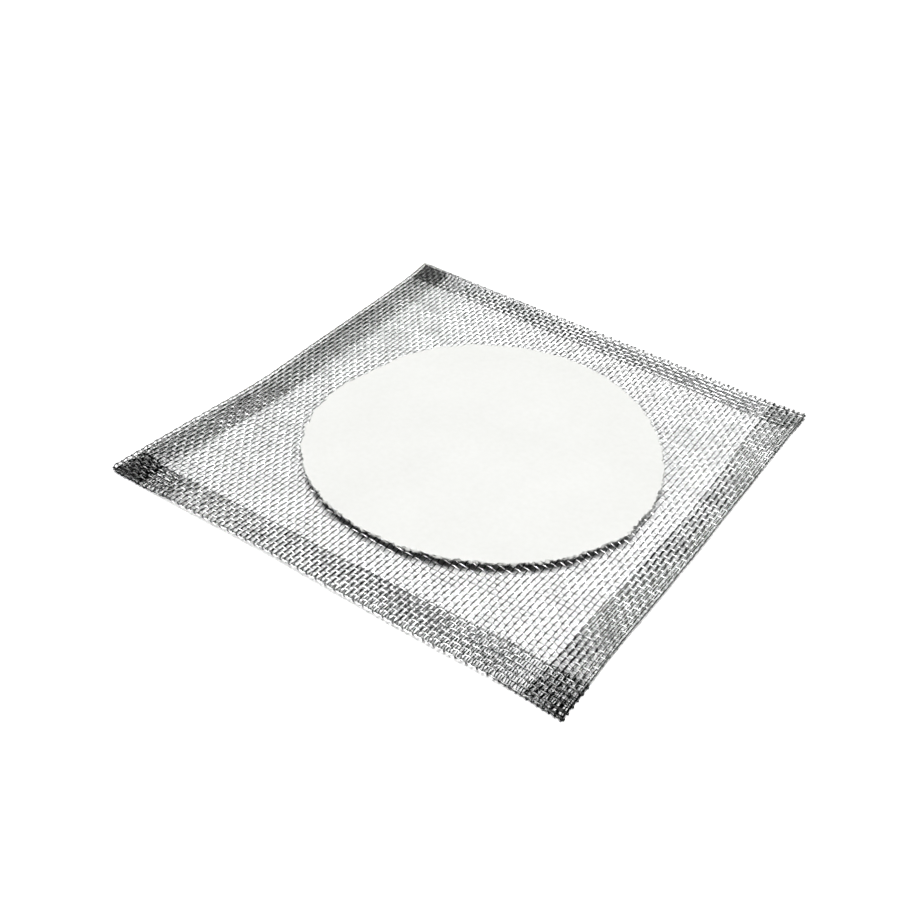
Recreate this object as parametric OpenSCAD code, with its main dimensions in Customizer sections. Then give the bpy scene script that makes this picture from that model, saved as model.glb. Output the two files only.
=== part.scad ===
// Wire gauze: a square of plain-woven iron wire cloth with folded hems, pressed up
// in the middle, and a ceramic disc that sits on the pressed-up middle.
// Millimetres, +Z up. The origin is on the surface that the gauze lies on, below the
// middle of the cloth. Warp wires run front to back (Y), weft wires left to right (X).
// The cloth is one wall. The weft wires are ridges on its face, the warp wires are
// ridges under the pressed-up middle, and a plain grid of gaps, through both layers of
// a hem too, stands for the weave's openings.

/* [Cloth] */
// Width of the finished gauze, left to right
gauze_w = 150; // [145:1:200]
// Depth of the finished gauze, front to back
gauze_d = 152; // [145:1:200]
// Diameter of the wire
wire_d = 0.3; // [0.2:0.05:0.4]
// Spacing of the warp wires
warp_pitch = 1.55; // [1.2:0.05:2]
// Spacing of the weft wires
weft_pitch = 1.85; // [1.2:0.05:2.2]

/* [Hems] */
// Width of the left and right hems, which are folded under first
side_hem = 10.5; // [6:0.5:13]
// Width of the front hem, folded under over the ends of the side hems
front_hem = 12.5; // [6:0.5:16]
// Width of the back hem, folded under over the ends of the side hems
back_hem = 10.5; // [6:0.5:16]
// Air between two folded layers of cloth
layer_gap = 0.15; // [0.1:0.05:0.4]

/* [Ceramic centre] */
// Diameter of the ceramic disc
ceramic_d = 104.5; // [60:0.5:108]
// Thickness of the ceramic disc
ceramic_t = 0.9; // [0.6:0.1:2]
// Radius of the disc's worn upper edge
ceramic_edge_r = 0.3; // [0.1:0.05:0.5]
// How far the disc lies to the right of the cloth's middle
ceramic_x = 5.5; // [-6:0.5:6]
// How far the disc lies behind the cloth's middle
ceramic_y = -2.5; // [-4:0.5:4]
// Height that the middle of the cloth is pressed up
press_h = 0.9; // [0.5:0.1:2]
// Width of the slope around the pressed-up middle
press_slope = 3; // [1:0.5:4]

/* [Ridges and gaps] */
// Wires that one ridge stands for
ridge_wires = 2; // [1:1:4]
// Warp spacings from one gap to the next
gap_warps = 10; // [8:1:14]
// Weft spacings from one gap to the next
gap_wefts = 8; // [8:2:12]
// Wires in a bar between two gaps, where the cloth is single
bar_wires = 1; // [1:1:3]
// Wires in a bar between two gaps of a hem, where the cloth is double
hem_bar_wires = 2; // [1:1:3]
// Width of cloth left between a gap and a fold, a hem's edge or the slope
gap_land = 0.8; // [0.4:0.1:1.5]
// Shortest side of a gap that is cut
gap_min = 2.5; // [1:0.5:4]

/* [Hidden] */

// Two crossing wires make the cloth's thickness. A groove between two ridges is
// nearly a wire deep.
cloth_t = 2 * wire_d;
groove_h = 0.8 * wire_d;
ridge_pitch_x = ridge_wires * warp_pitch;
ridge_pitch_y = ridge_wires * weft_pitch;

// A corner holds four layers, and the front and back folds are as high as that stack.
stack_h = 4 * cloth_t + 3 * layer_gap;
fold_r = stack_h / 2;
// A side hem holds two layers.
side_r = cloth_t + layer_gap / 2;
side_fold_x = gauze_w / 2 - side_r;

// The axes that the front and back hems are folded about
front_y = -gauze_d / 2 + fold_r;
back_y = gauze_d / 2 - fold_r;
// The inner edges of the hems, around the single layer of cloth
single_x = gauze_w / 2 - side_hem;
single_front = -gauze_d / 2 + front_hem;
single_back = gauze_d / 2 - back_hem;
single_z = stack_h - cloth_t;

// The pressed-up middle
press_r = ceramic_d / 2;
foot_r = press_r + press_slope;

// The grid of gaps, whose lines lie along the middle of the bars
gap_step_x = gap_warps * warp_pitch;
gap_step_y = gap_wefts * weft_pitch;
gap_columns = ceil(gauze_w / gap_step_x / 2);
gap_rows = ceil(gauze_d / gap_step_y / 2);

// The fields of cloth that have gaps, each as [left, front, right, back]: the single
// layer, and the hems between the corners. The corners stay closed, because four
// layers lie there.
single_field = [-single_x, single_front, single_x, single_back];
hem_fields = [
    [-side_fold_x, single_front, -single_x, single_back],
    [single_x, single_front, side_fold_x, single_back],
    [-single_x, front_y, single_x, single_front],
    [-single_x, single_back, single_x, back_y]
];

// The gaps in a field, each as [left, front, right, back]
function gaps_in(field, wires) = [
    for (column = [-gap_columns:gap_columns - 1])
        for (row = [-gap_rows:gap_rows - 1])
            let (
                bar_x = wires * warp_pitch / 2,
                bar_y = wires * weft_pitch / 2,
                left = max(column * gap_step_x + bar_x, field[0] + gap_land),
                front = max(row * gap_step_y + bar_y, field[1] + gap_land),
                right = min((column + 1) * gap_step_x - bar_x, field[2] - gap_land),
                back = min((row + 1) * gap_step_y - bar_y, field[3] - gap_land)
            )
            if (min(right - left, back - front) >= gap_min) [left, front, right, back]
];

// How far a gap reaches from the middle of the disc
function reach(gap) = norm([
    max(ceramic_x - gap[0], gap[2] - ceramic_x),
    max(ceramic_y - gap[1], gap[3] - ceramic_y)
]);

// Height that a cut reaches beyond what it cuts
over = 1;

module at_disc(z) {
    translate([ceramic_x, ceramic_y, z]) children();
}

module openings(gaps) {
    for (gap = gaps) translate([gap[0], gap[1]]) square([gap[2] - gap[0], gap[3] - gap[1]]);
}

// The gaps around the slope. One that reaches less than gap_min past it is left out.
module single_gaps() {
    around_r = foot_r + gap_land;
    difference() {
        openings([
            for (gap = gaps_in(single_field, bar_wires)) if (reach(gap) >= around_r + gap_min) gap
        ]);
        translate([ceramic_x, ceramic_y]) circle(r = around_r, $fn = 180);
    }
}

// The gaps through both layers of the hems, cut from below all the layers to above them
module hem_gaps() {
    translate([0, 0, -over]) linear_extrude(stack_h + 2 * over)
        for (field = hem_fields) openings(gaps_in(field, hem_bar_wires));
}

// A saw-toothed strip from u = from to u = to, with its teeth pointing down: a tooth
// is groove_h deep, and the points between the teeth are at whole pitches
module teeth(from, to, pitch) {
    first = ceil(from / pitch);
    last = floor(to / pitch);
    polygon(concat(
        [[first * pitch, over]],
        [for (i = [first:last - 1]) each [[i * pitch, 0], [(i + 0.5) * pitch, -groove_h]]],
        [[last * pitch, 0], [last * pitch, over]]
    ));
}

// Grooves between weft wires, cut down from z = 0, from x = left to x = right
module weft_grooves(left, right, from, to) {
    translate([left, 0, 0]) rotate([90, 0, 90])
        linear_extrude(right - left) teeth(from, to, ridge_pitch_y);
}

// Grooves between warp wires, cut down from z = 0, from y = from to y = to
module warp_grooves(left, right, from, to) {
    translate([0, to, 0]) rotate([90, 0, 0])
        linear_extrude(to - from) teeth(left, right, ridge_pitch_x);
}

// The same cuts made upwards from z
module from_below(z) {
    translate([0, 0, z]) mirror([0, 0, 1]) children();
}

// The cloth cut across with its side hems folded: X to the right, Y up from the axis
// that the front and back hems are folded about
module side_folded_section() {
    translate([-side_fold_x, fold_r - cloth_t]) square([2 * side_fold_x, cloth_t]);
    for (side = [-1, 1]) {
        translate([side * side_fold_x, fold_r - side_r]) intersection() {
            circle(r = side_r, $fn = 12);
            translate([side * side_r / 2, 0]) square([side_r, 2 * side_r], center = true);
        }
        translate([side * (side_fold_x + single_x) / 2, fold_r - 2 * side_r + cloth_t / 2])
            square([side_fold_x - single_x, cloth_t], center = true);
    }
}

// The section carried along Y
module run_of_cloth(from, to) {
    translate([0, to, fold_r]) rotate([90, 0, 0]) linear_extrude(to - from) side_folded_section();
}

// The section carried half round a fold axis, where a hem turns under
module hem_fold(axis_y, turn) {
    translate([0, axis_y, fold_r]) rotate([0, -90, turn])
        rotate_extrude(angle = 180, $fn = 48) rotate(-90) side_folded_section();
}

// The section upside down, as a hem that is folded under
module folded_under(from, to) {
    translate([0, 0, stack_h]) mirror([0, 0, 1]) run_of_cloth(from, to);
}

// The middle of the cloth, pressed up, with the slope around it
module pressed_middle() {
    difference() {
        at_disc(single_z) rotate_extrude($fn = 180) polygon([
            [0, press_h], [press_r, press_h], [foot_r, 0],
            [foot_r, cloth_t], [press_r, press_h + cloth_t], [0, press_h + cloth_t]
        ]);
        intersection() {
            from_below(single_z + press_h)
                warp_grooves(-single_x, single_x, single_front, single_back);
            at_disc(0) cylinder(r = press_r, h = 2 * stack_h, $fn = 180);
        }
    }
}

module wire_cloth() {
    color([0.66, 0.68, 0.67]) {
        difference() {
            run_of_cloth(front_y, back_y);
            translate([0, 0, stack_h]) weft_grooves(-side_fold_x, side_fold_x, front_y, back_y);
            at_disc(single_z - over) cylinder(r = foot_r, h = cloth_t + 2 * over, $fn = 180);
            translate([0, 0, single_z - over]) linear_extrude(cloth_t + 2 * over) single_gaps();
            hem_gaps();
        }
        pressed_middle();
        hem_fold(front_y, 180);
        hem_fold(back_y, 0);
        difference() {
            folded_under(front_y, single_front);
            hem_gaps();
        }
        difference() {
            folded_under(single_back, back_y);
            hem_gaps();
        }
    }
}

// A flat disc with its upper edge worn round
module ceramic_centre() {
    color([0.97, 0.97, 0.95]) at_disc(stack_h + press_h) rotate_extrude($fn = 180) {
        square([press_r, ceramic_t - ceramic_edge_r]);
        square([press_r - ceramic_edge_r, ceramic_t]);
        translate([press_r - ceramic_edge_r, ceramic_t - ceramic_edge_r])
            circle(r = ceramic_edge_r, $fn = 12);
    }
}

wire_cloth();
ceramic_centre();
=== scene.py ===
# %% [markdown]
# # A laboratory wire gauze, woven wire by wire
#
# A wire gauze is a square of iron wire cloth with a round ceramic middle. It is laid
# on a tripod and spreads a burner's heat under a beaker. Three things give it its
# look: the plain weave of two sets of bent wires, the hems, where the cloth is folded
# under and lies two or four layers deep, and the chalky disc with its ragged rim.
#
# The solid model gives the sizes. This lesson weaves the cloth again inside the same
# box, as real wires, and casts the disc again with its crumbled rim.

# %% Load the frame
import math

import bpy
import numpy as np
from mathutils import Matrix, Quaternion, Vector


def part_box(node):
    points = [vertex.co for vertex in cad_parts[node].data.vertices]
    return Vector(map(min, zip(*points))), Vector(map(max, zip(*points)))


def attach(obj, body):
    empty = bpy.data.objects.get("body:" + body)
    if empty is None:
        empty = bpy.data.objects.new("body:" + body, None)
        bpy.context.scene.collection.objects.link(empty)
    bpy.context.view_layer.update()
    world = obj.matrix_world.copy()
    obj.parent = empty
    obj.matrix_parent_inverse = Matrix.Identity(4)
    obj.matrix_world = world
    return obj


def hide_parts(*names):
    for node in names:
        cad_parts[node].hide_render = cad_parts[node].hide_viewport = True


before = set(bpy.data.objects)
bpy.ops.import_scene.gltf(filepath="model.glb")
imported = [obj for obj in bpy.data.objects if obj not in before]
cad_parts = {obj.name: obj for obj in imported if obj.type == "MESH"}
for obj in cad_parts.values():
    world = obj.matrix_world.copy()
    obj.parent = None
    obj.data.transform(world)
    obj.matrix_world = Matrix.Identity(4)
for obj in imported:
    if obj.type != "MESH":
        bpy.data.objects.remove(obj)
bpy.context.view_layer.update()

MM = 0.001
cloth_low, cloth_high = (np.array(corner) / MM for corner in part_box("wire_cloth"))
disc_low, disc_high = (np.array(corner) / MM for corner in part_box("ceramic_centre"))
print("cloth, mm:", cloth_low.round(2), cloth_high.round(2))
print("disc, mm:", disc_low.round(2), disc_high.round(2))

# %% [markdown]
# ## Where every length comes from
#
# All lengths are millimetres until a mesh is made. The outline, the height of the
# folded stack and the place of the disc are read from the solid model, so the wires
# follow it if a size there changes. What its boxes don't tell has numbers of its own
# here: the wire, its spacings, the widths of the hems and the pressed-up middle.

# %% Sizes of the cloth
WIRE_D = 0.3  # diameter of the wire
# Widths of the hems where the folded wires keep their spacing
SIDE_HEM = 10.5
FRONT_HEM = 11.7
BACK_HEM = 9.8
PRESS_H = 0.9  # height that the middle of the cloth is pressed up
PRESS_SLOPE = 3.4  # width of the slope round it

half_w = (cloth_high[0] - cloth_low[0]) / 2
half_d = (cloth_high[1] - cloth_low[1]) / 2
disc_r = (disc_high[0] - disc_low[0]) / 2
disc_x, disc_y = (disc_low[:2] + disc_high[:2]) / 2
disc_bottom, disc_top = disc_low[2], disc_high[2]
print("half outline", half_w, half_d, "disc radius", round(disc_r, 2), "at", disc_x, disc_y)

# %% [markdown]
# ## The camera
#
# The camera stands in front and to the right, a little over a third of a metre away
# and about 38 degrees up, and is tipped three degrees to its left. It is placed first,
# because every later choice is judged through it.

# %% Camera
CAMERA_AT = Vector((146.7, -239.0, 218.1)) * MM
LOOKS_ALONG = Vector((-0.43019, 0.65687, -0.61925))
ROLL = math.radians(2.99)  # about the line of sight
LENS, SENSOR = 47.26, 36  # focal length and width of the sensor in millimetres
NEAREST, FARTHEST = 0.01, 20  # metres between which the camera sees


def make_camera():
    """A camera that looks along one direction, turned about it by ROLL."""
    camera = bpy.data.objects.new("camera", bpy.data.cameras.new("camera"))
    bpy.context.scene.collection.objects.link(camera)
    camera.location = CAMERA_AT
    camera.rotation_mode = "QUATERNION"
    camera.rotation_quaternion = LOOKS_ALONG.to_track_quat("-Z", "Y") @ Quaternion((0, 0, 1), ROLL)
    camera.data.sensor_width = SENSOR
    camera.data.lens = LENS
    camera.data.clip_start = NEAREST
    camera.data.clip_end = FARTHEST
    bpy.context.scene.camera = camera


make_camera()
print("camera at", tuple(round(c, 3) for c in CAMERA_AT))

# %% [markdown]
# ## How the cloth is folded
#
# The cloth starts flat. A point on it has two coordinates: u counts millimetres to the
# right and v counts millimetres to the back. Folding is a function that carries (u, v)
# to a place in space. It could be done with a cloth simulation, but iron wire keeps
# the bend it is given, so a formula is truer here, and it gives the same cloth each
# time. The side hems are turned under first. The front and back hems are then turned
# under over their ends, and that is why the four corners hold four layers.

# %% Fold radii and fold lines
# Pairs of a place along a hem and its width there, because the widths aren't even
LEFT_WIDTHS = [(-76, 9.8), (-30, 10.8), (0, 10.2), (76, 10.3)]
RIGHT_WIDTHS = [(-76, 11.5), (-60, 11.0), (0, 9.7), (25, 9.7), (60, 10.7), (76, 10.9)]
FRONT_WIDTHS = [
    (-75, 12.4), (-40, 11.7), (-20, 11.9), (0, 12.3), (20, 13.5), (40, 14.2), (75, 14.8),
]
BACK_WIDTHS = [(-75, 10.2), (-40, 9.4), (0, 9.8), (40, 9.4), (75, 9.8)]
SIDE_SLACK = 0.1  # added to a side fold's radius halfway between the corners
# Taken off a front or back fold's radius between the corners, with two layers fewer
HEM_TIGHTER = 0.27
STEP_DOWN = 15.0  # length over which that fold narrows
AIR_UNDER = 0.005  # air left under the lowest wires

stack_h = disc_bottom - PRESS_H
# The fold's radius at a corner is half the height between the outer layers' middles
hem_fold_r = (stack_h - 2 * WIRE_D - AIR_UNDER) / 2
side_fold_r = hem_fold_r / 3
side_line = half_w - side_fold_r - WIRE_D
hem_line = half_d - hem_fold_r - WIRE_D
# Flat places of the raw edges, left and right, front and back
raw_side = side_line + (np.pi - 1) * side_fold_r + SIDE_HEM - WIRE_D
raw_front = hem_line + (np.pi - 1) * (hem_fold_r - HEM_TIGHTER) + FRONT_HEM - WIRE_D
raw_back = hem_line + (np.pi - 1) * (hem_fold_r - HEM_TIGHTER) + BACK_HEM - WIRE_D
print("fold radii", round(side_fold_r, 3), round(hem_fold_r, 3))
print("fold lines", round(side_line, 2), round(hem_line, 2))


def curve(places, s):
    """A smooth curve through (place, value) pairs, read at s.

    Between two places it is the cubic that has their values, and at each of them a
    slope worked out from its neighbours on both sides.
    """
    at, value = np.array(places, float).T
    slope = np.gradient(value, at)
    k = np.clip(np.searchsorted(at, s) - 1, 0, len(at) - 2)
    gap = at[k + 1] - at[k]
    t = np.clip((s - at[k]) / gap, 0, 1)
    rise = t * t * (3 - 2 * t)
    leave = t * (1 - t) ** 2 * gap * slope[k]
    arrive = t * t * (1 - t) * gap * slope[k + 1]
    return value[k] * (1 - rise) + value[k + 1] * rise + leave - arrive


def smooth_step(s):
    """0 below s = 0, 1 above s = 1, and an S-shaped curve between."""
    s = np.clip(s, 0, 1)
    return s * s * (3 - 2 * s)


def belly(s):
    """1 in the middle, falling smoothly to 0 at s = -1 and s = 1."""
    return (1 - np.clip(s * s, 0, 1)) ** 2


def fold(flat, line, radius, raw, width):
    """Folds a flat coordinate under beyond plus and minus line.

    Up to the line nothing changes. Past it the sheet follows half a circle, and then
    it runs back below itself, stretched so that its raw edge makes a hem of that width.
    Returns the sign of the side, the length that stays straight less the length that
    has come back, and the angle round the half circle.
    """
    past = np.abs(flat) - line
    angle = np.clip(past / radius, 0, np.pi)
    stretch = (width - radius - WIRE_D) / (raw - line - np.pi * radius)
    come_back = np.maximum(past - np.pi * radius, 0) * stretch
    return np.sign(flat), np.minimum(np.abs(flat), line) - come_back, angle


def folded(u, v):
    """Carries flat (u, v) to the folded sheet, its top layer at z = 0."""
    loose = side_fold_r + SIDE_SLACK * belly(v / half_d)
    width = np.where(u < 0, curve(LEFT_WIDTHS, v), curve(RIGHT_WIDTHS, v))
    sign, run, angle = fold(u, side_line, loose, raw_side, width)
    x = sign * (run + loose * np.sin(angle))
    depth = loose * (np.cos(angle) - 1)
    at_corner = smooth_step((np.abs(x) - half_w + SIDE_HEM + STEP_DOWN) / STEP_DOWN)
    tight = hem_fold_r - HEM_TIGHTER * (1 - at_corner)
    raw = np.where(v < 0, raw_front, raw_back)
    width = np.where(v < 0, curve(FRONT_WIDTHS, x), curve(BACK_WIDTHS, x))
    sign, run, angle = fold(v, hem_line, tight, raw, width)
    y = sign * (run + (tight + depth) * np.sin(angle))
    z = (tight + depth) * np.cos(angle) - tight
    return x, y, z


# %% [markdown]
# ## How this square differs from a true one
#
# The sides of the cloth aren't straight. The left one is drawn in by up to four
# millimetres, the back one by up to two and a half, and the other two by less than one.
# The outline could be traced point by point, but a smooth curve through a few places is
# easier to change: it says how far each side is drawn in, and the rest of the cloth
# follows in proportion to how near that side it is.

# %% Outline
WAVE_H = 0.2  # height of the waves in the cloth
WAVE_X, WAVE_Y = 17.0, 21.0  # their lengths, divided by a full turn
PRESS_UNDER = 0.6  # how far inside the disc's rim the slope starts

# Pairs of a place along the side and the distance by which the side is drawn in there
DRAWN_IN_LEFT = [
    (-76, 0.0), (-60, 1.0), (-45, 2.1), (-20, 4.0), (10, 3.5), (45, 2.7), (66, 1.6), (76, 0.4),
]
DRAWN_IN_RIGHT = [(-76, 0.2), (-45, 0.5), (-20, 0.2), (20, 0.15), (76, 0.2)]
DRAWN_IN_FRONT = [
    (-75, 0.0), (-55, 0.1), (-40, 0.3), (-20, 0.8), (0, 0.6), (40, 0.5), (60, 0.9), (75, 0.2),
]
DRAWN_IN_BACK = [(-75, 0.0), (-30, 0.8), (0, 1.1), (20, 1.4), (40, 1.9), (60, 2.4), (75, 1.7)]


def drawn_in(x, y):
    """Moves points in from the four sides, in full at a side and not at all opposite it."""
    right = (x / half_w + 1) / 2
    back = (y / half_d + 1) / 2
    new_x = x + curve(DRAWN_IN_LEFT, y) * (1 - right) - curve(DRAWN_IN_RIGHT, y) * right
    new_y = y + curve(DRAWN_IN_FRONT, x) * (1 - back) - curve(DRAWN_IN_BACK, x) * back
    return new_x, new_y


# Swellings of the disc's rim: direction in degrees, millimetres outwards, width in degrees
SWELLINGS = [
    (-137, 3.1, 34), (-62, -1.2, 25), (-12, 1.0, 4), (42, -1.0, 27), (100, 1.1, 38), (169, -1.6, 12),
]


def swollen(angle):
    """How far the disc's rim is outside its circle: a bell curve of the angle per swelling."""
    total = 0 * angle
    for direction, swelling, width in SWELLINGS:
        away = (np.degrees(angle) - direction + 180) % 360 - 180
        total = total + swelling * np.exp(-((away / width) ** 2))
    return total


def height(x, y):
    """Height of the cloth over the plane of its top layer.

    The middle is pressed up to carry the disc, as far as the disc's rim goes. Around it
    the cloth waves a little, less and less towards the edges, where the hems stiffen it.
    """
    from_x, from_y = x - disc_x, y - disc_y
    past_rim = np.hypot(from_x, from_y) - disc_r - swollen(np.arctan2(from_y, from_x))
    pressed = PRESS_H * (1 - smooth_step((past_rim + PRESS_UNDER) / PRESS_SLOPE))
    calm = belly(x / half_w) * belly(y / half_d)
    wave = WAVE_H * np.sin(x / WAVE_X) * np.cos(y / WAVE_Y)
    return pressed + wave * calm


def cloth(u, v):
    """The finished cloth's mid-surface: folded, drawn in, pressed up. Last axis x, y, z."""
    x, y, z = folded(u, v)
    x, y = drawn_in(x, y)
    return np.stack([x, y, z + height(x, y) + stack_h - WIRE_D], axis=-1)


# %% [markdown]
# ## How the wires are woven
#
# In a plain weave each wire passes over one crossing wire and under the next. So a
# wire is a wave on the cloth's mid-surface: half a wire up at one crossing, half a
# wire down at the next. The wires are counted from the middle, and a wire's count is
# a smooth function of its place, because the spacing widens a little from left to
# right and from front to back. The wave is then simply a cosine of the crossing
# wires' count. A picture of a weave on a flat sheet would be cheaper, but from close
# by, and at the folded edges, only real wires look woven.

# %% Spacing of the wires
# Pitch, opening and start of the wires that run front to back, and of those that run left
# to right. The start is the place of wire number 0.
WARP = (1.55, 0.0005, 0.0)
WEFT = (1.86, 0.0007, 1.03)
MOST_WIRES = 100  # to either side of the middle, more than there are
SAMPLES = 3  # points from one crossing to the next
FOLD_SAMPLES = 7  # more points round a fold
TOO_NEAR = 0.1  # of the distance of even points, within which no fold point is added


def place_of(count, spacing):
    """Place of a wire: start plus pitch times its count, plus opening times the count squared."""
    pitch, opening, start = spacing
    return start + pitch * count + opening * count * count


def counts_between(low, high, spacing, parts):
    """Counts of the wires between two places, with parts of them to a spacing."""
    count = np.arange(-MOST_WIRES * parts, MOST_WIRES * parts + 1) / parts
    place = place_of(count, spacing)
    return count[(place > low) & (place < high)]


def with_fold_points(counts, spacing, line, radius):
    """Adds points round the two folds, where the even ones are too far apart."""
    arc = line + np.pi * radius * (np.arange(FOLD_SAMPLES) + 0.5) / FOLD_SAMPLES
    extra = np.interp(np.concatenate([-arc[::-1], arc]), place_of(counts, spacing), counts)
    clear = np.abs(extra[:, None] - counts).min(axis=1) > TOO_NEAR / SAMPLES
    return np.sort(np.concatenate([counts, extra[clear]]))


warp_counts = counts_between(-raw_side, raw_side, WARP, 1)
weft_counts = counts_between(-raw_front, raw_back, WEFT, 1)
along_weft = with_fold_points(
    counts_between(-raw_side, raw_side, WARP, SAMPLES), WARP, side_line, side_fold_r
)
along_warp = with_fold_points(
    counts_between(-raw_front, raw_back, WEFT, SAMPLES), WEFT, hem_line, hem_fold_r
)
print(len(warp_counts), "warp wires and", len(weft_counts), "weft wires")


# %% [markdown]
# ## From lines to round wires
#
# Each wire needs a round wall round its line. A curve object with a bevel would do it
# for a few wires, but here are two hundred of them with over sixty thousand points, so
# the walls are worked out for many wires at once. Six sides are enough for a wire that
# is 0.3 millimetres thick.

# %% Tubes along many lines
SIDES = 6


def unit(vectors):
    """Vectors of length 1 that point the same way."""
    return vectors / np.linalg.norm(vectors, axis=-1, keepdims=True)


def tube_points(lines, ups):
    """Rings of SIDES points round each point of each line.

    lines and ups are arrays of wire, ring, xyz. A ring lies square to its line, whose
    direction is the difference between the neighbouring points. The point at angle a is
    centre + radius * (cos a * across + sin a * up).
    """
    along = unit(np.gradient(lines, axis=1))
    across = unit(np.cross(along, ups))
    up = np.cross(across, along)
    angle = 2 * np.pi * (np.arange(SIDES) + 0.5) / SIDES
    cos, sin = np.cos(angle)[:, None], np.sin(angle)[:, None]
    return lines[:, :, None] + WIRE_D / 2 * (cos * across[:, :, None] + sin * up[:, :, None])


def tube_faces(wires, rings):
    """Walls and end caps of tubes, as one list of corners and one of corners per face.

    Point number = (wire * rings + ring) * SIDES + side. A wall joins two sides of one
    ring to the same two sides of the next.
    """
    wire = np.arange(wires)[:, None, None] * rings * SIDES
    ring = np.arange(rings - 1)[None, :, None] * SIDES
    side = np.arange(SIDES)[None, None, :]
    near = wire + ring
    after = (side + 1) % SIDES
    walls = [near + side, near + after, near + SIDES + after, near + SIDES + side]
    walls = np.stack(walls, axis=-1)
    first = wire[:, 0] + np.arange(SIDES)[None, ::-1]
    last = wire[:, 0] + (rings - 1) * SIDES + np.arange(SIDES)[None]
    caps = np.concatenate([first, last])
    corners = np.concatenate([walls.ravel(), caps.ravel()])
    per_face = np.concatenate([np.full(walls.size // 4, 4), np.full(len(caps), SIDES)])
    return corners, per_face


def make_mesh(name, points, corners, per_face, slot, tone=None):
    """A mesh object from points in millimetres, which rides on the root body."""
    mesh = bpy.data.meshes.new(name)
    mesh.vertices.add(len(points))
    mesh.vertices.foreach_set("co", (points * MM).astype(np.float32).ravel())
    mesh.loops.add(len(corners))
    mesh.loops.foreach_set("vertex_index", corners.astype(np.int32))
    mesh.polygons.add(len(per_face))
    mesh.polygons.foreach_set("loop_start", (np.cumsum(per_face) - per_face).astype(np.int32))
    mesh.update(calc_edges=True)
    mesh.validate()
    mesh.polygons.foreach_set("use_smooth", np.ones(len(mesh.polygons), bool))
    if tone is not None:
        attribute = mesh.attributes.new("tone", "FLOAT", "POINT")
        attribute.data.foreach_set("value", tone.astype(np.float32))
    piece = bpy.data.objects.new(name, mesh)
    bpy.context.scene.collection.objects.link(piece)
    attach(piece, "root")
    triangles = int((per_face - 2).sum())
    print(f"{name}: {len(points)} points, {triangles} triangles")
    return piece


# %% [markdown]
# ## Weaving
#
# Warp and weft are made by the same function. The wire's own count fixes its place on
# the sheet, and the count of the crossing wires runs along it. The wires end at the raw
# edges, which lie under the hems, and their ends are uneven.
#
# Each point gets a tone as well, which the material reads. Where a wire dips under a
# crossing wire its tone is taken down: painted shade between the wires. The left hem and
# the corners are darker than the rest, and there the tone is taken down too: painted
# shade over the folded layers.
#
# Each direction is made as three pieces, to keep each mesh at a handy size.

# %% The weave
RAGGED = 0.3  # how far the cut ends of the wires are from even, in spacings
WANDER = 0.035  # height of each wave of a wire's drift from its even place, in spacings
WANDER_LENGTHS = (7, 17, 43)  # lengths of those waves, in crossing wires
WIRE_TONES = (0.55, 1)  # tones between which that of each wire lies
# Painted shade where a wire dips under a crossing wire
DIP_SHADED_TONE = 0.25  # tone of a wire where it dips under another, as a share of that on top
# Places of painted shade: x and y of the middle, half lengths along x and y, share of the tone lost
PAINTED_SHADE_PLACES = [
    (-75, 15, 18, 65, 0.95),
    (-30, 75, 45, 9, 0.4),
    (75, 5, 10, 45, 0.25),
    (0, -75, 30, 10, 0.1),
    (0, -50, 55, 12, 0.35),
    (-75, -76, 20, 20, 1.0),
    (-75, 76, 22, 22, 1.0),
    (75, -76, 20, 20, 1.0),
    (75, 76, 18, 18, 0.5),
]
rng = np.random.default_rng(7)


def lift(own_count, crossing_count):
    """Height of a warp wire's middle over the mid-surface; a weft wire's is the opposite.

    Half a wire times the cosine of half a turn for each crossing wire. Neighbouring
    wires have opposite signs.
    """
    return WIRE_D / 2 * np.cos(np.pi * own_count) * np.cos(np.pi * crossing_count)


def wire_lines(warp, weft, rise):
    """Middle lines of wires, and the cloth's outward direction along them.

    warp and weft are counts. The outward direction is square to the sheet: the cross
    product of its slopes along u and along v. rise is measured along it.
    """
    u = place_of(warp, WARP)
    v = place_of(weft, WEFT)
    step = 0.01  # millimetres
    slope_u = cloth(u + step, v) - cloth(u - step, v)
    slope_v = cloth(u, v + step) - cloth(u, v - step)
    out = unit(np.cross(slope_u, slope_v))
    return cloth(u, v) + rise[..., None] * out, out


def wander(crossing):
    """Drift of each wire from its even place, in spacings: slow waves, shifted at random."""
    total = 0 * crossing
    for length in WANDER_LENGTHS:
        shift = rng.uniform(0, 2 * np.pi, (len(crossing), 1))
        total = total + WANDER * np.sin(2 * np.pi * crossing / length + shift)
    return total


def left_by_painted_shade(x, y):
    """What the places of painted shade leave of the tone: a product of one minus a bell curve for
    each.
    """
    left = 1 + 0 * x
    for at_x, at_y, half_x, half_y, lost in PAINTED_SHADE_PLACES:
        away = ((x - at_x) / half_x) ** 2 + ((y - at_y) / half_y) ** 2
        left = left * (1 - lost * np.exp(-away))
    return left


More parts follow.
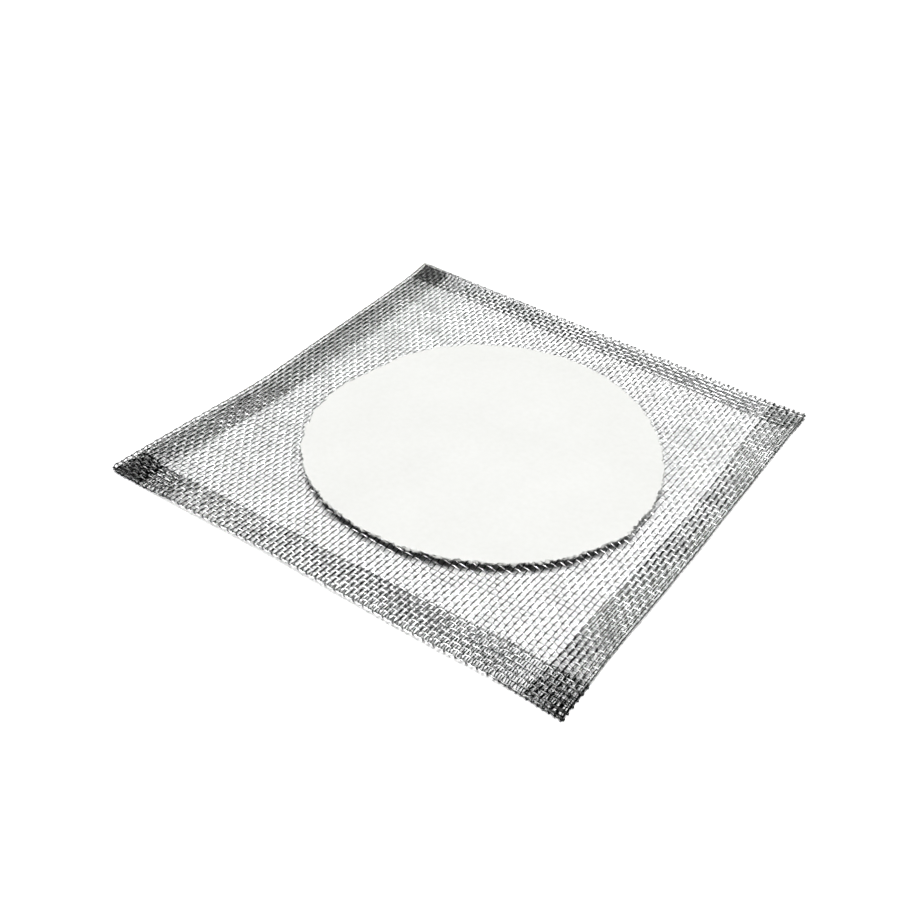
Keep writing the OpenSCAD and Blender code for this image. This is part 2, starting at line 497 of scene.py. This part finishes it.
def weave(name, own, crossing, is_warp):
    """One mesh of the wires counted in own, with points at the counts in crossing."""
    own = np.repeat(own[:, None], len(crossing), axis=1)
    crossing = np.repeat(crossing[None], len(own), axis=0)
    crossing[:, 0] += rng.uniform(0, RAGGED, len(own))
    crossing[:, -1] -= rng.uniform(0, RAGGED, len(own))
    rise = lift(own, crossing) * (1 if is_warp else -1)
    drifted = own + wander(crossing)
    warp, weft = (drifted, crossing) if is_warp else (crossing, drifted)
    lines, ups = wire_lines(warp, weft, rise)
    points = tube_points(lines, ups)
    corners, per_face = tube_faces(*points.shape[:2])
    # Painted shade: the tone falls where a wire dips under a crossing wire, and in the places of
    # painted shade listed above
    on_top = 0.5 + rise / WIRE_D
    tone = rng.uniform(*WIRE_TONES, (len(own), 1)) * (DIP_SHADED_TONE + (1 - DIP_SHADED_TONE) * on_top)
    tone = tone * left_by_painted_shade(lines[..., 0], lines[..., 1])
    tone = np.repeat(tone[..., None], SIDES, axis=-1)
    piece = make_mesh(name, points.reshape(-1, 3), corners, per_face, "iron_wire", tone.ravel())
    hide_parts("wire_cloth")
    return piece


def thirds(counts):
    """The counts in three runs of nearly the same length."""
    return np.array_split(counts, 3)


warp_wires = [
    weave(f"warp_wires_{where}", part, along_warp, True)
    for where, part in zip(("left", "middle", "right"), thirds(warp_counts))
]
weft_wires = [
    weave(f"weft_wires_{where}", part, along_weft, False)
    for where, part in zip(("front", "middle", "back"), thirds(weft_counts))
]

# %% [markdown]
# ## The ceramic centre
#
# The ceramic lies nearly a millimetre thick on the middle of the cloth and reaches a
# little way down between the wires. Its rim is crumbly and follows a circle only
# roughly. A turned profile gives the plate, and two formulas make it real: slow
# swellings of the rim, and a crumbly edge made of many small waves with no common
# length.

# %% The ceramic disc
DISC_TURNS = 900  # points round the rim
FLAT_RINGS = (0.3, 0.55, 0.75, 0.88, 0.95, 0.98)  # on top and beneath, in shares of the radius
EDGE_POINTS, WALL_POINTS = 5, 3  # rings on the worn upper edge and on the wall under it
EDGE_R = 0.28  # radius of the worn upper edge
RIM_UNDER = 0.35  # how far the ceramic reaches down between the wires
RIM_FROM, RIM_OVER = 0.88, 0.1  # where the rim's unevenness sets in, in shares of the radius
RIM_BITE = 0.22  # size of the crumbly waves of the rim
RIM_WAVES = (20, 320)  # to a turn: the fewest, and one more than the most
RIM_FALL = 0.55  # power by which a wave's height falls with its number
RIM_DRIFT = 2.2  # radians by which a wave shifts in a millimetre of height
TOP_RELIEF = 0.08  # depth of the hollows in the top
RELIEF_WAVES, RELIEF_LENGTH = 14, 9.0  # waves in that relief, millimetres to a radian of one
RELIEF_SOFTNESS = 4  # sum of waves at which the relief levels off
WAVES_SEED, SHIFTS_SEED = 3, 4  # of the relief's random waves and of their shifts


def crumbled(angle, level):
    """Small random waves round the rim, which differ from level to level.

    A wave's height falls with its number, so there are a few broad bites and many
    fine ones.
    """
    numbers = np.arange(*RIM_WAVES)
    size = rng.normal(0, 1, (2, len(numbers))) * (numbers / RIM_WAVES[0]) ** -RIM_FALL
    shift = rng.uniform(0, 2 * np.pi, len(numbers))
    drift = rng.normal(0, RIM_DRIFT, len(numbers))
    wave = np.sin(numbers * angle[..., None] + shift + drift * level[..., None])
    total = (wave * size[0]).sum(-1)
    return total / np.sqrt((size[0] ** 2).sum() / 2)


def disc_points():
    """The disc's skin: a profile (radius, height) carried round, with the rim made uneven.

    Returns the rings from the middle of the top to the middle of the underside.
    """
    bottom = disc_bottom - RIM_UNDER
    inner = disc_r * np.array(FLAT_RINGS)
    bend = np.linspace(0, np.pi / 2, EDGE_POINTS)
    radius = np.concatenate([
        inner,
        disc_r - EDGE_R * (1 - np.sin(bend)),
        np.full(WALL_POINTS, disc_r),
        inner[::-1],
    ])
    level = np.concatenate([
        np.full(len(inner), disc_top),
        disc_top - EDGE_R * (1 - np.cos(bend)),
        np.linspace(disc_top - EDGE_R, bottom, WALL_POINTS + 2)[1:-1],
        np.full(len(inner), bottom),
    ])
    angle = np.linspace(0, 2 * np.pi, DISC_TURNS, endpoint=False)
    radius, angle = np.meshgrid(radius, angle, indexing="ij")
    level = np.repeat(level[:, None], DISC_TURNS, axis=1)
    near_rim = smooth_step((radius / disc_r - RIM_FROM) / RIM_OVER)
    radius = radius + near_rim * (swollen(angle) + RIM_BITE * crumbled(angle, level) - RIM_BITE)
    return radius, angle, level


def closed_faces(rings, turns):
    """Faces of a skin made of rings, closed at both ends by one point each.

    Points are numbered ring by ring; the two end points come last.
    """
    step = np.arange(turns)
    after = (step + 1) % turns
    ring = np.arange(rings - 1)[:, None] * turns
    walls = [ring + step, ring + turns + step, ring + turns + after, ring + after]
    walls = np.stack(walls, axis=-1)
    first, last = rings * turns, rings * turns + 1
    top = np.stack([0 * step + first, step, after], axis=-1)
    end = (rings - 1) * turns
    under = np.stack([0 * step + last, end + after, end + step], axis=-1)
    corners = np.concatenate([walls.ravel(), top.ravel(), under.ravel()])
    per_face = np.concatenate([np.full(walls.size // 4, 4), np.full(2 * turns, 3)])
    return corners, per_face


def uneven(x, y):
    """0 to 1: a smooth random relief, the sum of a few long waves in all directions."""
    waves = np.random.default_rng(WAVES_SEED).normal(0, 1 / RELIEF_LENGTH, (RELIEF_WAVES, 2))
    shift = np.random.default_rng(SHIFTS_SEED).uniform(0, 2 * np.pi, RELIEF_WAVES)
    total = np.sin(x[..., None] * waves[:, 0] + y[..., None] * waves[:, 1] + shift).sum(-1)
    return 0.5 + np.tanh(total / RELIEF_SOFTNESS) / 2


def make_disc():
    """The disc's mesh: its rings, its top pressed into a shallow relief, and its end points."""
    radius, angle, level = disc_points()
    x, y = disc_x + radius * np.cos(angle), disc_y + radius * np.sin(angle)
    is_top = smooth_step((level - disc_bottom) / (disc_top - disc_bottom))
    z = level - TOP_RELIEF * uneven(x, y) * is_top
    skin = np.stack([x, y, z], axis=-1)
    ends = np.array([[disc_x, disc_y, skin[ring, :, 2].mean()] for ring in (0, -1)])
    points = np.concatenate([skin.reshape(-1, 3), ends])
    disc = make_mesh("ceramic_disc", points, *closed_faces(*skin.shape[:2]), "ceramic")
    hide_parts("ceramic_centre")
    return disc


disc = make_disc()

# %% [markdown]
# ## Materials
#
# Nothing is flat-coloured: the tone differs from wire to wire and along each wire.
# Each set of wires has its own metal, because no single metal stayed pale along the
# weft and dark along the warp under the lamps below: the weft's pale colour is painted
# sheen and the warp's near-black colour is painted shade. That is a choice made for this
# camera: on a real gauze both sets are most likely the same iron. Under one plain lamp,
# or seen from the left or the right, the cloth looks clearly darker.
#
# Fired ceramic is chalky, slightly warm and blotchy. Wire and ceramic both have
# blotches, so the blotches are a node group, built once and placed in each material
# with its own values.

# %% A node group for blotches
BLOTCH_DETAIL = 3  # octaves of each noise


def make_blotches():
    """Blotches from 0 to 1 on object coordinates: coarse noise with fine noise on top."""
    group = bpy.data.node_groups.new("blotches", "ShaderNodeTree")
    for socket in ("Coarse", "Fine", "Contrast"):
        group.interface.new_socket(socket, in_out="INPUT", socket_type="NodeSocketFloat")
    group.interface.new_socket("Mask", in_out="OUTPUT", socket_type="NodeSocketFloat")
    nodes, links = group.nodes, group.links
    start, end = nodes.new("NodeGroupInput"), nodes.new("NodeGroupOutput")
    place = nodes.new("ShaderNodeTexCoord")
    noises = []
    for socket in ("Coarse", "Fine"):
        noise = nodes.new("ShaderNodeTexNoise")
        noise.inputs["Detail"].default_value = BLOTCH_DETAIL
        links.new(place.outputs["Object"], noise.inputs["Vector"])
        links.new(start.outputs[socket], noise.inputs["Scale"])
        noises.append(noise)
    both = nodes.new("ShaderNodeMath")
    both.operation = "ADD"
    links.new(noises[0].outputs["Fac"], both.inputs[0])
    links.new(noises[1].outputs["Fac"], both.inputs[1])
    spread = nodes.new("ShaderNodeMapRange")
    links.new(both.outputs[0], spread.inputs["Value"])
    low, high = nodes.new("ShaderNodeMath"), nodes.new("ShaderNodeMath")
    low.operation, high.operation = "SUBTRACT", "ADD"
    for side, socket in ((low, "From Min"), (high, "From Max")):
        side.inputs[0].default_value = 1.0
        links.new(start.outputs["Contrast"], side.inputs[1])
        links.new(side.outputs[0], spread.inputs[socket])
    links.new(spread.outputs["Result"], end.inputs["Mask"])
    return group


blotches = make_blotches()


def new_material(name):
    """A new material, its node tree and its Principled shader."""
    material = bpy.data.materials.new(name)
    material.use_nodes = True
    tree = material.node_tree
    return material, tree, tree.nodes["Principled BSDF"]


def blotch_mask(tree, coarse, fine, contrast):
    """The blotches' mask, with noise scales per metre and half the width of the spread."""
    node = tree.nodes.new("ShaderNodeGroup")
    node.node_tree = blotches
    node.inputs["Coarse"].default_value = coarse
    node.inputs["Fine"].default_value = fine
    node.inputs["Contrast"].default_value = contrast
    return node.outputs["Mask"]


def blend_colours(tree, mask, dark, light):
    """dark where mask is 0 and light where it is 1."""
    mix = tree.nodes.new("ShaderNodeMix")
    mix.data_type = "RGBA"
    tree.links.new(mask, mix.inputs["Factor"])
    for socket, colour in (("A", dark), ("B", light)):
        target = next(s for s in mix.inputs if s.name == socket and s.type == "RGBA")
        if isinstance(colour, tuple):
            target.default_value = (*colour, 1)
        else:
            tree.links.new(colour, target)
    return next(s for s in mix.outputs if s.type == "RGBA")


def blend_values(tree, mask, low, high):
    """low where mask is 0 and high where it is 1."""
    node = tree.nodes.new("ShaderNodeMapRange")
    tree.links.new(mask, node.inputs["Value"])
    node.inputs["To Min"].default_value = low
    node.inputs["To Max"].default_value = high
    return node.outputs["Result"]


# %% Wire and ceramic
# Each pair of colours is the darkest and the lightest
# The weft's light colour is painted sheen and the warp's dark colours are painted shade, both for
# the lamps below
WARP_COLOURS = (0.008, 0.0085, 0.0085), (0.05, 0.051, 0.05)
WEFT_COLOURS = (0.014, 0.0145, 0.014), (0.85, 0.855, 0.85)
CERAMIC_COLOURS = (0.86, 0.865, 0.835), (0.915, 0.92, 0.895)
# Coarse scale, fine scale and contrast of the blotches
WIRE_BLOTCHES = 140.0, 1500.0, 0.35
CERAMIC_BLOTCHES = 45.0, 700.0, 0.4
GRAIN = 900.0, 3500.0, 0.5
EDGE_TINT = (0.25, 0.25, 0.25, 1)  # of what the metal mirrors at a glancing angle
WIRE_ROUGHNESS = 0.2, 0.12  # where it is dark and where it is bright
CERAMIC_ROUGHNESS = 0.9
GRAIN_STRENGTH, GRAIN_DEPTH = 0.35, 0.05  # depth in millimetres


def make_wire(name, dark, light):
    """Iron wire: a metal between dark and light, by wire and by place on it."""
    material, tree, shader = new_material(name)
    shader.inputs["Metallic"].default_value = 1.0
    shader.inputs["Specular Tint"].default_value = EDGE_TINT
    # The tone holds each wire's own random tone, and painted shade at the dips and over the folded
    # layers
    tone = tree.nodes.new("ShaderNodeAttribute")
    tone.attribute_name = "tone"
    tarnish = blotch_mask(tree, *WIRE_BLOTCHES)
    wire_colour = blend_colours(tree, tone.outputs["Fac"], dark, light)
    colour = blend_colours(tree, tarnish, dark, wire_colour)
    tree.links.new(colour, shader.inputs["Base Color"])
    tree.links.new(blend_values(tree, tarnish, *WIRE_ROUGHNESS), shader.inputs["Roughness"])
    return material


def make_ceramic():
    """Chalky fired paste: nearly white blotches, a grainy surface and no gloss at all."""
    material, tree, shader = new_material("chalky_ceramic")
    mask = blotch_mask(tree, *CERAMIC_BLOTCHES)
    colour = blend_colours(tree, mask, *CERAMIC_COLOURS)
    tree.links.new(colour, shader.inputs["Base Color"])
    shader.inputs["Roughness"].default_value = CERAMIC_ROUGHNESS
    shader.inputs["Specular IOR Level"].default_value = 0.0
    grain = blotch_mask(tree, *GRAIN)
    bump = tree.nodes.new("ShaderNodeBump")
    bump.inputs["Strength"].default_value = GRAIN_STRENGTH
    bump.inputs["Distance"].default_value = GRAIN_DEPTH * MM
    tree.links.new(grain, bump.inputs["Height"])
    tree.links.new(bump.outputs["Normal"], shader.inputs["Normal"])
    return material


warp_metal = make_wire("warp_wire", *WARP_COLOURS)
weft_metal = make_wire("weft_wire", *WEFT_COLOURS)
for wires, metal in ((warp_wires, warp_metal), (weft_wires, weft_metal)):
    for piece in wires:
        piece.data.materials.append(metal)
disc.data.materials.append(make_ceramic())

# %% [markdown]
# ## Floor and light
#
# Light makes a weave readable when it favours one set of wires. A wire glints only
# where it is square to the halfway direction between lamp and eye. A weft wire bends up
# and down as it runs, so its glints need lamps side by side: three stand in a row in
# front, and only the metal sees them. The warp wires mirror mostly what is behind the
# gauze, and the wall there is dark, so they stay thin and black. One large lamp nearly
# overhead lights the ceramic and the floor softly, and only matt surfaces see it.
#
# Each of the three is nearly three times as strong as the overhead one, which is more
# than a plain level. The metals' colours are chosen for them, so new lamps need new
# colours.
#
# The studio round them is white near the floor, dim overhead and dark at the back. A
# camera that stands low in front, or low at a front corner, sees that dark wall above
# the floor, so this background suits only a camera that looks well down. The floor
# has a second coat of white where the camera or a reflection sees it. It turns pure
# white in full light and keeps the shadow under the disc.

# %% Floor
FLOOR_HALF = 4.0  # half its side, in metres
FLOOR_WHITE = 0.15  # the coat that lights the object
SECOND_COAT = 1.2  # the coat that only the camera and reflections see


def is_seen(tree):
    """1 for a ray from the camera, a reflection or a transmission, and 0 for other light."""
    path = tree.nodes.new("ShaderNodeLightPath")
    seen = path.outputs["Is Camera Ray"]
    for ray in ("Is Glossy Ray", "Is Transmission Ray"):
        either = tree.nodes.new("ShaderNodeMath")
        either.operation = "MAXIMUM"
        tree.links.new(seen, either.inputs[0])
        tree.links.new(path.outputs[ray], either.inputs[1])
        seen = either.outputs[0]
    return seen


def make_floor():
    """A flat white square with two coats, one of which shows only to what sees the floor."""
    mesh = bpy.data.meshes.new("floor")
    h = FLOOR_HALF
    mesh.from_pydata([(-h, -h, 0), (h, -h, 0), (h, h, 0), (-h, h, 0)], [], [(0, 1, 2, 3)])
    floor = bpy.data.objects.new("floor", mesh)
    bpy.context.scene.collection.objects.link(floor)
    material = bpy.data.materials.new("floor_white")
    material.use_nodes = True
    tree = material.node_tree
    tree.nodes.remove(tree.nodes["Principled BSDF"])
    first = tree.nodes.new("ShaderNodeBsdfDiffuse")
    second = tree.nodes.new("ShaderNodeBsdfDiffuse")
    both = tree.nodes.new("ShaderNodeAddShader")
    first.inputs["Color"].default_value = (FLOOR_WHITE, FLOOR_WHITE, FLOOR_WHITE, 1)
    white = (SECOND_COAT, SECOND_COAT, SECOND_COAT)
    coat = blend_colours(tree, is_seen(tree), (0.0, 0.0, 0.0), white)
    tree.links.new(coat, second.inputs["Color"])
    tree.links.new(first.outputs[0], both.inputs[0])
    tree.links.new(second.outputs[0], both.inputs[1])
    tree.links.new(both.outputs[0], tree.nodes["Material Output"].inputs["Surface"])
    mesh.materials.append(material)


make_floor()

# %% Light
# For each lamp: direction it stands in, its width in degrees, its strength, and
# whether it lights matt surfaces or glints in the metal
LAMPS = {
    "overhead": ((0.12, -0.2, 1.0), 30, 3.36, "matt"),
    "in_front_left": ((-0.75, -0.45, 0.48), 52, 9.2, "metal"),
    "in_front": ((-0.35, -0.64, 0.68), 52, 9.2, "metal"),
    "in_front_right": ((0.1, -0.68, 0.73), 52, 9.2, "metal"),
}
HORIZON_STRENGTH, ZENITH_STRENGTH = 1.0, 0.12
HORIZON_BAND = (0.15, 0.5)  # upward part of the direction at which white ends and dim begins
BACK_BAND = (0.3, 0.6)  # backward part of the direction from which to which the back darkens
BACK_STRENGTH = 0.05  # share of its light that the back wall keeps
FILL = 0.05  # share of the studio's white that reaches matt surfaces


def make_lamp(name, direction, width, strength, lights):
    """A sun lamp that stands in one direction, for matt surfaces only or for metal only."""
    lamp = bpy.data.objects.new(name, bpy.data.lights.new(name, "SUN"))
    bpy.context.scene.collection.objects.link(lamp)
    lamp.rotation_mode = "QUATERNION"
    lamp.rotation_quaternion = Vector(direction).to_track_quat("Z", "Y")
    lamp.data.angle = math.radians(width)
    lamp.data.energy = strength
    lamp.visible_diffuse = lights == "matt"
    lamp.visible_glossy = lights == "metal"


def make_world():
    """White at the horizon, dim overhead and dark at the back.

    The light of a direction depends on how far up it points, times a share that depends
    on how far back it points.
    """
    world = bpy.data.worlds.new("studio")
    bpy.context.scene.world = world
    world.use_nodes = True
    tree = world.node_tree
    place = tree.nodes.new("ShaderNodeTexCoord")
    parts = tree.nodes.new("ShaderNodeSeparateXYZ")
    fade = tree.nodes.new("ShaderNodeMapRange")
    fade.interpolation_type = "SMOOTHSTEP"
    fade.inputs["From Min"].default_value, fade.inputs["From Max"].default_value = HORIZON_BAND
    fade.inputs["To Min"].default_value = HORIZON_STRENGTH
    fade.inputs["To Max"].default_value = ZENITH_STRENGTH
    tree.links.new(place.outputs["Generated"], parts.inputs[0])
    tree.links.new(parts.outputs["Z"], fade.inputs["Value"])
    strength = tree.nodes.new("ShaderNodeMath")
    strength.operation = "MULTIPLY"
    back = tree.nodes.new("ShaderNodeMapRange")
    back.interpolation_type = "SMOOTHSTEP"
    back.inputs["From Min"].default_value, back.inputs["From Max"].default_value = BACK_BAND
    back.inputs["To Min"].default_value = 1.0
    back.inputs["To Max"].default_value = BACK_STRENGTH
    tree.links.new(parts.outputs["Y"], back.inputs["Value"])
    both = tree.nodes.new("ShaderNodeMath")
    both.operation = "MULTIPLY"
    tree.links.new(fade.outputs["Result"], both.inputs[0])
    tree.links.new(back.outputs["Result"], both.inputs[1])
    tree.links.new(both.outputs[0], strength.inputs[0])
    tree.links.new(blend_values(tree, is_seen(tree), FILL, 1.0), strength.inputs[1])
    tree.links.new(strength.outputs[0], tree.nodes["Background"].inputs["Strength"])
    tree.nodes["Background"].inputs["Color"].default_value = (1, 1, 1, 1)


for name, lamp in LAMPS.items():
    make_lamp(name, *lamp)
make_world()
bpy.context.scene.view_settings.view_transform = "Standard"
